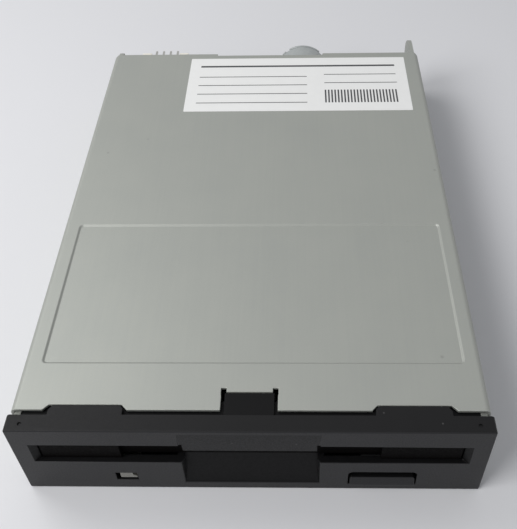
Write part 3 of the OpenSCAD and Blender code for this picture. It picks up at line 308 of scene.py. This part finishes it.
# Parts of the spindle motor: sintered bronze bearing, stacked stator plates and enamelled windings.
# Bronze is open grained, the plates are bare blue grey edges and the wire shines through its enamel.
# The wire is 0.12 mm thick and its turns are drawn 0.22 mm apart, so that they show.
def finish(name, light, dark, grain, rough, metal=0.0, relief=0.0, stretch=(1, 1, 1), gloss=0.5):
    """A plain surface of one material: two close tones in a grain of so many millimetres."""
    material, tree = new_material(name)
    place = put(tree, "ShaderNodeTexCoord")
    drawn = put(tree, "ShaderNodeMapping", {"Scale": stretch}, {"Vector": (place, "Object")})
    noise = put(tree, "ShaderNodeTexNoise", {
        "Scale": 1 / (grain * mm), "Detail": 3.0,
    }, {"Vector": (drawn, 0)})
    tint = put(tree, "ShaderNodeMix", {
        "data_type": "RGBA", 6: linear(light), 7: linear(dark),
    }, {0: (noise, "Fac")})
    matt = put(tree, "ShaderNodeMapRange", {
        "From Min": 0.3, "From Max": 0.7, "To Min": rough * 0.85, "To Max": rough * 1.15,
    }, {"Value": (noise, "Fac")})
    bump = put(tree, "ShaderNodeBump", {
        "Strength": 0.3, "Distance": max(relief, 0.001) * mm,
    }, {"Height": (noise, "Fac")})
    shade = put(tree, "ShaderNodeBsdfPrincipled", {"Metallic": metal, "Specular IOR Level": gloss}, {
        "Base Color": (tint, 2), "Roughness": (matt, 0), "Normal": (bump, 0),
    })
    put(tree, "ShaderNodeOutputMaterial", None, {"Surface": (shade, 0)})
    return material


bronze = finish("sintered_bronze", "#b9945a", "#8f6d3c", 0.35, 0.42, 1.0, 0.02)
soften("spindle_bearing", bronze, 0.15)
soften("pivot_bush", bronze, 0.1)
laminations = finish("silicon_steel_laminations", "#8d9193", "#6f7477", 0.5, 0.4, 0.9, 0.02, (1, 1, 12))
dress(laminations, "stator_core")
drawn_wire = 0.22 * mm
enamelled_wire, tree = new_material("enamelled_copper_winding")
place = put(tree, "ShaderNodeTexCoord")
turns = put(tree, "ShaderNodeTexWave", {
    "bands_direction": "Z", "Scale": wave_length / drawn_wire,
}, {"Vector": (place, "Object")})
wire = put(tree, "ShaderNodeMix", {
    "data_type": "RGBA", 6: linear("#6e3413"), 7: linear("#b86a31"),
}, {0: (turns, "Fac")})
round_wire = put(tree, "ShaderNodeBump", {
    "Strength": 0.8, "Distance": 0.1 * mm,
}, {"Height": (turns, "Fac")})
copper = put(tree, "ShaderNodeBsdfPrincipled", {"Metallic": 0.7, "Roughness": 0.32}, {
    "Base Color": (wire, 2), "Normal": (round_wire, 0),
})
put(tree, "ShaderNodeOutputMaterial", None, {"Surface": (copper, 0)})
dress(enamelled_wire, "stator_coils", "stepper_coils")

# Chips, sensors and switches on the boards, moulded in black or grey plastic and soldered down.
# Moulding epoxy is matt with a fine grit; the plungers are slippery off-white acetal.
epoxy = finish("black_moulding_epoxy", "#2a2b2d", "#1d1e20", 0.25, 0.55, 0.0, 0.02)
for node in ("motor_chips", "control_chips", "index_sensor", "track_sensor"):
    soften(node, epoxy, 0.14)
grey_polyester = finish("grey_moulded_polyester", "#45454a", "#38383c", 0.5, 0.45, 0.0, 0.02)
soften("switch_bodies", grey_polyester, 0.15)
acetal = finish("white_acetal", "#dfdccf", "#cfcbbd", 1.2, 0.38, 0.0, 0.01)
for node in ("density_plunger", "disk_plunger", "protect_plunger"):
    soften(node, acetal, 0.25, 3)
soften("led_lamp", finish("tinted_lamp_epoxy", "#c3cdb2", "#aebb9c", 2.0, 0.2), 0.2)


# Legs of the chips: bent tips of the lead frame, soldered flat to the boards, 0.8 mm apart on the
# square chips and 1.27 mm apart on the small ones. Tin plate is a soft, half bright grey.
def repeat(first, places):
    """Copies a piece's mesh to every place and joins the copies to one piece of the same name."""
    name, copies = first.name, []
    for place in places:
        copies.append(bpy.data.objects.new("copy", first.data.copy()))
        copies[-1].data.transform(place)
        scene.collection.objects.link(copies[-1])
    bpy.data.objects.remove(first)
    bpy.ops.object.select_all(action="DESELECT")
    for copy in copies:
        copy.select_set(True)
    bpy.context.view_layer.objects.active = copies[0]
    bpy.ops.object.join()
    bpy.context.object.name = name
    return bpy.context.object


# In millimetres: a leg leaves the chip at the shoulder, slants down to the board and ends in a foot.
leg_width, leg_metal, solder_film, corner_margin = 0.4, 0.16, 0.01, 0.6
shoulder, shoulder_length, shoulder_out, slant, foot = 0.75, 0.5, 0.15, 0.12, 0.4
bpy.ops.object.select_all(action="DESELECT")
bpy.ops.mesh.primitive_cube_add(size=mm, location=(0, shoulder_out * mm, shoulder * mm))
legs = bpy.context.object
legs.name = "chip_legs"
legs.scale = (leg_width, shoulder_length, leg_metal)
bpy.ops.object.transform_apply(location=True, rotation=True, scale=True)
bpy.ops.object.mode_set(mode="EDIT")
bpy.ops.mesh.select_mode(type="FACE")
bpy.ops.mesh.select_all(action="DESELECT")
bend = bmesh.from_edit_mesh(legs.data)
for face in bend.faces:
    face.select_set(face.normal.y > 0.9)
bmesh.update_edit_mesh(legs.data)
for out, down in ((slant, shoulder - leg_metal / 2 - solder_film), (foot, 0)):
    bpy.ops.mesh.extrude_region_move(TRANSFORM_OT_translate={"value": (0, out * mm, -down * mm)})
bpy.ops.object.mode_set(mode="OBJECT")
# Each chip's left, right, front and rear side, the top of its board and the pitch of its legs.
places = []
for left, right, front, rear, board, pitch in (
    (-40, -28, 37.5, 49.5, 3.4, 0.8),
    (-20, -13, 39.5, 44.5, 3.4, 1.27),
    (-45, -40, 51.5, 55.5, 3.4, 1.27),
    (22, 32, -11.5, -1.5, 3.0, 0.8),
    (-34, -26, -9.5, -4.5, 3.0, 1.27),
):
    centre = Matrix.Translation(((left + right) / 2 * mm, (front + rear) / 2 * mm, board * mm))
    count = int((right - left - 2 * corner_margin) / pitch) + 1
    square = right - left == rear - front
    for quarter in range(0, 4, 1 if square else 2):
        side = centre @ Matrix.Rotation(math.radians(90 * quarter), 4, "Z")
        for i in range(count):
            along = (i - (count - 1) / 2) * pitch
            places.append(side @ Matrix.Translation((along * mm, (rear - front) / 2 * mm, 0)))
legs = repeat(legs, places)
legs.data.materials.append(finish("tinned_copper_alloy", "#c2c4c3", "#a6a9a8", 0.5, 0.34, 0.9, 0.004))
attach(legs, "chassis")

# Screws that hold the boards and the stepper bracket, nickel plated, with cross recesses.
# Plated screw steel is bright and a little yellow.
screw_steel = finish("nickel_plated_screw_steel", "#c9c8c2", "#a8a7a0", 0.8, 0.26, 1.0, 0.01)
for node in ("board_screws", "bracket_screws", "guide_pins", "lever_pin", "hinge_pin"):
    soften(node, screw_steel, 0.12)
dress(screw_steel, "screw_follower")

# Spindle: a drawn steel cup with a ferrite ring, a chuck plate and a ground shaft, turned as one.
# The cup has fine turning marks, ferrite is nearly black, the shaft is mirror ground.
drawn_cup = finish("drawn_zinc_plated_steel", "#b8bab6", "#9b9e9a", 0.5, 0.3, 0.95, 0.01, (1, 1, 8))
soften("rotor_cup", drawn_cup, 0.4, 3)
ferrite = finish("sintered_ferrite", "#404144", "#2f3033", 0.4, 0.6, 0.1, 0.02)
dress(ferrite, "rotor_magnet", "stepper_rotor")
bonded_ferrite = finish("plastic_bonded_ferrite", "#4a4b4e", "#3b3c3f", 0.5, 0.5, 0.0, 0.02)
soften("chuck_plate", bonded_ferrite, 0.25)
ground_steel = finish("ground_stainless_steel", "#d2d4d3", "#b9bcbb", 0.6, 0.16, 1.0, 0.003)
soften("spindle_shaft", ground_steel, 0.15)
soften("drive_pin", ground_steel, 0.3, 3)

# Control board: glass epoxy board in green resist on three posts, with its chips and small parts.
# Connectors stand at its rear edge: a black shrouded header, and a cream power header on top of it.
# Nylon is cream and waxy, glass filled polyester a dull black; the pins are gold flashed or tinned.
green_board = circuit("glass_epoxy_board_green_resist", "#1f5a3c", "#2f7450", 1.0)
soften("control_board", green_board, 0.08)
dipped_ceramic = finish("dipped_ceramic_parts", "#b99b68", "#a08350", 0.8, 0.42, 0.0, 0.02)
soften("board_parts", dipped_ceramic, 0.2)
nylon = finish("cream_nylon", "#f0ece2", "#e6e1d5", 2.5, 0.4, 0.0, 0.015)
for node in ("flex_socket", "stepper_terminal", "power_header"):
    soften(node, nylon, 0.18)
glass_filled = finish("black_glass_filled_polyester", "#2b2b2e", "#212124", 0.4, 0.48, 0.0, 0.02)
soften("data_header", glass_filled, 0.15)
dress(finish("gold_flashed_brass", "#d2b263", "#b8944a", 0.8, 0.24, 1.0), "data_pins")
dress(finish("tinned_brass", "#cfcfca", "#b4b4ae", 0.6, 0.3, 1.0), "power_pins")

# Solder joints under the control board, one cone for each pin tail of the two connectors.
# Tin lead solder sets as a bright, slightly dimpled cone round the pin.
data_pitch, data_left, data_rows = 2.54, -42.92, (63.2, 61.0)
power_pitch, power_middle, power_row = 2.5, -35.9, 58.7
pad_radius, cone_height, tail_tip, under_board = 0.82 * mm, 0.45 * mm, 0.14 * mm, 1.8 * mm
tails = [(data_left + data_pitch * i, y) for i in range(17) for y in data_rows]
tails += [(power_middle + power_pitch * (i - 1.5), power_row) for i in range(4)]
bpy.ops.object.select_all(action="DESELECT")
bpy.ops.mesh.primitive_cylinder_add(
    vertices=12, radius=pad_radius, depth=cone_height, location=(0, 0, under_board - cone_height / 2),
)
joint = bpy.context.object
joint.name = "solder_joints"
bpy.ops.object.transform_apply(location=True, rotation=True, scale=True)
bpy.ops.object.mode_set(mode="EDIT")
bpy.ops.mesh.select_mode(type="FACE")
bpy.ops.mesh.select_all(action="DESELECT")
cone = bmesh.from_edit_mesh(joint.data)
for face in cone.faces:
    face.select_set(face.normal.z < -0.9)
bmesh.update_edit_mesh(joint.data)
bpy.ops.transform.resize(value=(0.72, 0.72, 1))
bpy.ops.mesh.extrude_region_move(TRANSFORM_OT_translate={"value": (0, 0, -tail_tip)})
bpy.ops.transform.resize(value=(0.6, 0.6, 1))
bpy.ops.object.mode_set(mode="OBJECT")
bpy.ops.object.shade_smooth_by_angle(angle=math.radians(70))
joint = repeat(joint, [Matrix.Translation((x * mm, y * mm, 0)) for x, y in tails])
joint.data.materials.append(finish("tin_lead_solder", "#c3c6c8", "#a9adb0", 0.7, 0.28, 0.95, 0.03))
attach(joint, "chassis")


# Flat cables inside: the motor cable in white polyester and the head flex in amber polyimide.
# Their copper strips show as even lines through the film.
def flat_cable(name, film, strip, pitch, way):
    """A film with copper strips in it, drawn as even bands."""
    material, tree = new_material(name)
    place = put(tree, "ShaderNodeTexCoord")
    bands = put(tree, "ShaderNodeTexWave", {
        "bands_direction": way, "Scale": wave_length / (pitch * mm),
    }, {"Vector": (place, "Object")})
    strips = put(tree, "ShaderNodeMapRange", {
        "From Min": 0.45, "From Max": 0.6,
    }, {"Value": (bands, "Fac")})
    tint = put(tree, "ShaderNodeMix", {
        "data_type": "RGBA", 6: linear(film), 7: linear(strip),
    }, {0: (strips, 0)})
    bump = put(tree, "ShaderNodeBump", {
        "Strength": 0.4, "Distance": 0.03 * mm,
    }, {"Height": (strips, 0)})
    film_face = put(tree, "ShaderNodeBsdfPrincipled", {"Roughness": 0.3}, {
        "Base Color": (tint, 2), "Normal": (bump, 0),
    })
    put(tree, "ShaderNodeOutputMaterial", None, {"Surface": (film_face, 0)})
    return material


dress(flat_cable("white_polyester_flat_cable", "#e4e1d6", "#c9bfa8", 1.0, "X"), "motor_cable")


def flexing(node, material):
    """A copy of a CAD node, merged and smoothly shaded, that takes the node's place."""
    piece = bpy.data.objects.new(node + "_form", frame["nodes"][node].data.copy())
    scene.collection.objects.link(piece)
    bpy.ops.object.select_all(action="DESELECT")
    piece.select_set(True)
    bpy.context.view_layer.objects.active = piece
    bpy.ops.mesh.customdata_custom_splitnormals_clear()
    bpy.ops.object.mode_set(mode="EDIT")
    bpy.ops.mesh.select_all(action="SELECT")
    bpy.ops.mesh.remove_doubles(threshold=0.001 * mm)
    bpy.ops.object.mode_set(mode="OBJECT")
    bpy.ops.object.shade_smooth_by_angle(angle=math.radians(50))
    piece.data.materials.clear()
    piece.data.materials.append(material)
    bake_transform(piece)
    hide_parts(node)


amber_flex = flat_cable("amber_polyimide_flex", "#a8672c", "#c98a45", 0.6, "Z")
flexing("head_flex", amber_flex)

# Stepper: a drawn can crimped to its end plate on a bent bracket, with the lead screw on its shaft.
# The can has the same dull zinc grey as the cover, a shade darker.
can_steel = finish("drawn_zinc_coated_can", "#b9bdbc", "#a6abaa", 1.5, 0.4, 0.5, 0.02)
soften("stepper_can", can_steel, 0.4, 3)
soften("stepper_end_cap", can_steel, 0.15)
plated = finish("zinc_plated_mild_steel", "#bcc0bb", "#a3a8a3", 5.0, 0.32, 0.85, 0.01)
soften("stepper_bracket", plated, 0.15)
dress(ground_steel, "guide_rods", "lead_screw")

# Head carriage: a zinc casting on two guide rods, with the lower head, and a hinged arm above it.
# Castings are dull and slightly grainy, the heads are polished ceramic.
die_casting = finish("zinc_die_casting", "#a4a8ab", "#909498", 1.2, 0.45, 0.75, 0.03)
soften("head_carriage", die_casting, 0.25)
soften("upper_arm", die_casting, 0.2)
ceramic = finish("polished_head_ceramic", "#5b5f63", "#4c5054", 1.0, 0.15)
soften("lower_head", ceramic, 0.15)
soften("upper_head", ceramic, 0.15)
spring_wire = finish("bright_spring_wire", "#cbcdcc", "#aeb1b0", 0.5, 0.22, 1.0)
dress(spring_wire, "arm_spring", "lever_spring", "flap_spring")

# Loading mechanism: slide, disk holder and shutter lever, pressed from plated steel sheet.
# Bright zinc plating with soft clouds, edges deburred.
for node in ("slide_plate", "disk_holder", "trigger_lever"):
    soften(node, plated, 0.1)
flexing("slide_springs", spring_wire)


# Front bezel and eject button: dark grey moulded ABS with a fine grit and specks of dust. The front
# faces are painted a lighter tone as painted light, with a little more gloss; walls of the openings, the
# thumb recess, slot ends, tops in the gaps and the button's top are painted darker as painted shade.
# Pits of 0.1 mm are drawn at 0.32 mm, so that they show.
drawn_pit, tone_cloud, dust_spacing = 0.32 * mm, 14 * mm, 5 * mm


def moulded_abs(name, light, dark, sheen):
    """Dark moulded plastic: a fine grit in roughness and relief, cloudy tone, specks of dust."""
    material, tree = new_material(name)
    place = put(tree, "ShaderNodeTexCoord")
    grain = put(tree, "ShaderNodeTexNoise", {
        "Scale": 1 / drawn_pit, "Detail": 2.0,
    }, {"Vector": (place, "Object")})
    haze = put(tree, "ShaderNodeTexNoise", {
        "Scale": 1 / tone_cloud, "Detail": 2.0,
    }, {"Vector": (place, "Object")})
    tint = put(tree, "ShaderNodeMix", {
        "data_type": "RGBA", 6: linear(light), 7: linear(dark),
    }, {0: (haze, "Fac")})
    speck = put(tree, "ShaderNodeTexVoronoi", {"Scale": 1 / dust_spacing}, {"Vector": (place, "Object")})
    dust = put(tree, "ShaderNodeMapRange", {
        "From Min": 0.05, "From Max": 0.02, "To Max": 0.22,
    }, {"Value": (speck, "Distance")})
    dusty = put(tree, "ShaderNodeMix", {
        "data_type": "RGBA", 7: linear("#8c8c8c"),
    }, {0: (dust, 0), 6: (tint, 2)})
    matt = put(tree, "ShaderNodeMapRange", {
        "From Min": 0.3, "From Max": 0.7, "To Min": 0.42, "To Max": 0.56,
    }, {"Value": (grain, "Fac")})
    relief = put(tree, "ShaderNodeBump", {
        "Strength": 0.25, "Distance": 0.05 * mm,
    }, {"Height": (grain, "Fac")})
    plastic = put(tree, "ShaderNodeBsdfPrincipled", {"IOR": 1.54, "Specular IOR Level": sheen}, {
        "Base Color": (dusty, 2), "Roughness": (matt, 0), "Normal": (relief, 0),
    })
    put(tree, "ShaderNodeOutputMaterial", None, {"Surface": (plastic, 0)})
    return material


plain_abs = moulded_abs("dark_grey_moulded_abs", "#111112", "#161617", 0.2)
# A lighter copy of the same ABS for the front faces: painted light, with a little more gloss.
front_tone_painted_light = moulded_abs("dark_grey_abs_painted_light", "#1b1b1c", "#212123", 0.26)
# A darker copy for walls, recesses and tops that lie in shade: painted shade.
wall_tone_painted_shade = finish("dark_abs_painted_shade", "#0e0e0f", "#0b0b0c", 0.6, 0.5, gloss=0.14)
# The round marks of the ejector pins on the bezel's top stay sharp.
mark_x, mark_z = 47.5, 25
bezel = soften(
    "front_bezel", plain_abs, 0.15, 3, leave=lambda p: abs(abs(p.x) - mark_x) < 1 and p.z > mark_z,
)
button = soften("eject_button", plain_abs, 0.2, 3)


def paint_faces_tone(piece, coat, chosen):
    """Gives the chosen faces of a moulded piece another material: a lighter or darker tone, painted
    light or painted shade.
    """
    piece.data.materials.append(coat)
    bpy.ops.object.select_all(action="DESELECT")
    piece.select_set(True)
    bpy.context.view_layer.objects.active = piece
    bpy.ops.object.mode_set(mode="EDIT")
    bpy.ops.mesh.select_mode(type="FACE")
    bpy.ops.mesh.select_all(action="DESELECT")
    shell = bmesh.from_edit_mesh(piece.data)
    for face in shell.faces:
        face.select_set(chosen(face.calc_center_median() / mm, face.normal))
    bmesh.update_edit_mesh(piece.data)
    piece.active_material_index = len(piece.data.materials) - 1
    bpy.ops.object.material_slot_assign()
    bpy.ops.object.mode_set(mode="OBJECT")


face_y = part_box("front_bezel")[0][1] / mm


def gets_painted_shade(p, n):
    """Whether a bezel face, with its middle p in millimetres and the normal n, gets painted shade:
    opening walls, thumb recess, slot ends, spigot tops.
    """
    depth = p.y - face_y
    opening = 0.2 < depth < 2.5 and abs(n.y) < 0.3 and abs(p.x) < 47 and 2.4 < p.z < 19.5
    thumb_recess = 0.2 < depth < 3 and abs(p.x) < 17 and 2.4 < p.z < 13
    slot_end = 0.1 < depth < 3 and abs(n.x) > 0.3 and abs(p.x) < 47.5 and 2.4 < p.z < 20
    spigot_top = depth > 3.85 and n.z > 0.8 and 20 < p.z < 25
    return opening or thumb_recess or slot_end or spigot_top


# Front faces get the lighter tone of painted light; walls, recesses and tops in shade, and the button's
# top, get the darker tone of painted shade.
paint_faces_tone(bezel, front_tone_painted_light, lambda p, n: n.y < -0.4 and p.y - face_y < 0.2)
paint_faces_tone(bezel, wall_tone_painted_shade, gets_painted_shade)
paint_faces_tone(button, front_tone_painted_light, lambda p, n: n.y < -0.4)
paint_faces_tone(button, wall_tone_painted_shade, lambda p, n: n.z > 0.8 and p.y - face_y < 5.6)

# Dust flap behind the slot, black ABS, painted near black as painted shade of the slot as well; lamp
# lens of clear polycarbonate, clouded at its end. The lens shows as a whitish chip in the face.
flap_abs_painted_shade = finish("black_abs_painted_darker", "#070606", "#050404", 0.4, 0.6, 0.0, 0.02, gloss=0.04)
soften("dust_flap", flap_abs_painted_shade, 0.1)
milk_cloud = 1.1 * mm
lens, tree = new_material("clear_polycarbonate_lens")
place = put(tree, "ShaderNodeTexCoord")
milk = put(tree, "ShaderNodeTexNoise", {
    "Scale": 1 / milk_cloud, "Detail": 2.0,
}, {"Vector": (place, "Object")})
tint = put(tree, "ShaderNodeMix", {
    "data_type": "RGBA", 6: linear("#696862"), 7: linear("#7d7c74"),
}, {0: (milk, "Fac")})
clear = put(tree, "ShaderNodeBsdfPrincipled", {
    "IOR": 1.58, "Roughness": 0.22, "Transmission Weight": 0.1,
}, {"Base Color": (tint, 2)})
put(tree, "ShaderNodeOutputMaterial", None, {"Surface": (clear, 0)})
soften("led_lens", lens, 0.12)

# Top cover: the same coated sheet, pressed with a sunk panel and bent over the sides and the rear.
# It snaps over catches of the frame, and its front edge is notched for the bezel.
soften("top_cover", coated_steel, 0.12, 3)

# Blank label of coated paper, stuck on the cover, with plain ruled lines and a field of even stripes.
# Coated paper is white with a slight gloss, the ink is a soft black.
low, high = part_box("rating_label")
wide, deep = high[0] - low[0], high[1] - low[1]
bpy.ops.object.select_all(action="DESELECT")
bpy.ops.mesh.primitive_plane_add(
    size=1, location=((low[0] + high[0]) / 2, (low[1] + high[1]) / 2, high[2]),
)
label = bpy.context.object
label.name = "rating_label_sheet"
bpy.ops.transform.resize(value=(wide, deep, 1))
bpy.ops.object.transform_apply(location=True, rotation=True, scale=True)
label.data.materials.append(finish("coated_label_paper", "#eeeeec", "#e8e8e6", 3.0, 0.35, 0.0, 0.004))
label.data.materials.append(finish("soft_black_label_ink", "#3c3d3f", "#4a4b4d", 0.4, 0.5))
bpy.ops.object.mode_set(mode="EDIT")
bpy.ops.mesh.select_all(action="SELECT")
corner = 0.3 * mm
bpy.ops.mesh.bevel(offset=corner, segments=3, affect="VERTICES")
# Printed fields in millimetres from the front left corner: left, front, right, rear.
fine_line, heavy_line, stripe = 0.35, 0.9, 0.5
left_edge, lines_end, stripes_start, right_edge = 3.5, 38.0, 43.5, 66.5
printed = [(left_edge, y, lines_end, y + fine_line) for y in (4.0, 8.5, 13.0, 17.5)]
printed += [(left_edge, 23.0, right_edge, 23.0 + heavy_line)]
printed += [(stripes_start + i, 4.0, stripes_start + i + stripe, 10.5) for i in range(23)]
printed += [(stripes_start, y, right_edge, y + fine_line) for y in (14.0, 18.5)]
for axis in (0, 1):
    for cut in sorted({field[i] for field in printed for i in (axis, axis + 2)}):
        bpy.ops.mesh.select_all(action="SELECT")
        spot = [low[0], low[1], high[2]]
        spot[axis] += cut * mm
        bpy.ops.mesh.bisect(plane_co=spot, plane_no=(1 - axis, axis, 0))
bpy.ops.mesh.select_all(action="DESELECT")
bpy.ops.mesh.select_mode(type="FACE")
sheet_mesh = bmesh.from_edit_mesh(label.data)
for face in sheet_mesh.faces:
    spot = face.calc_center_median()
    across, along = (spot.x - low[0]) / mm, (spot.y - low[1]) / mm
    face.select_set(any(f[0] < across < f[2] and f[1] < along < f[3] for f in printed))
bmesh.update_edit_mesh(label.data)
label.active_material_index = 1
bpy.ops.object.material_slot_assign()
bpy.ops.object.mode_set(mode="OBJECT")
paper_edge = label.modifiers.new("thickness", "SOLIDIFY")
paper_edge.thickness = high[2] - low[2]
paper_edge.offset = -1
bpy.ops.object.modifier_apply(modifier="thickness")
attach(label, "chassis")
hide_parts("rating_label")
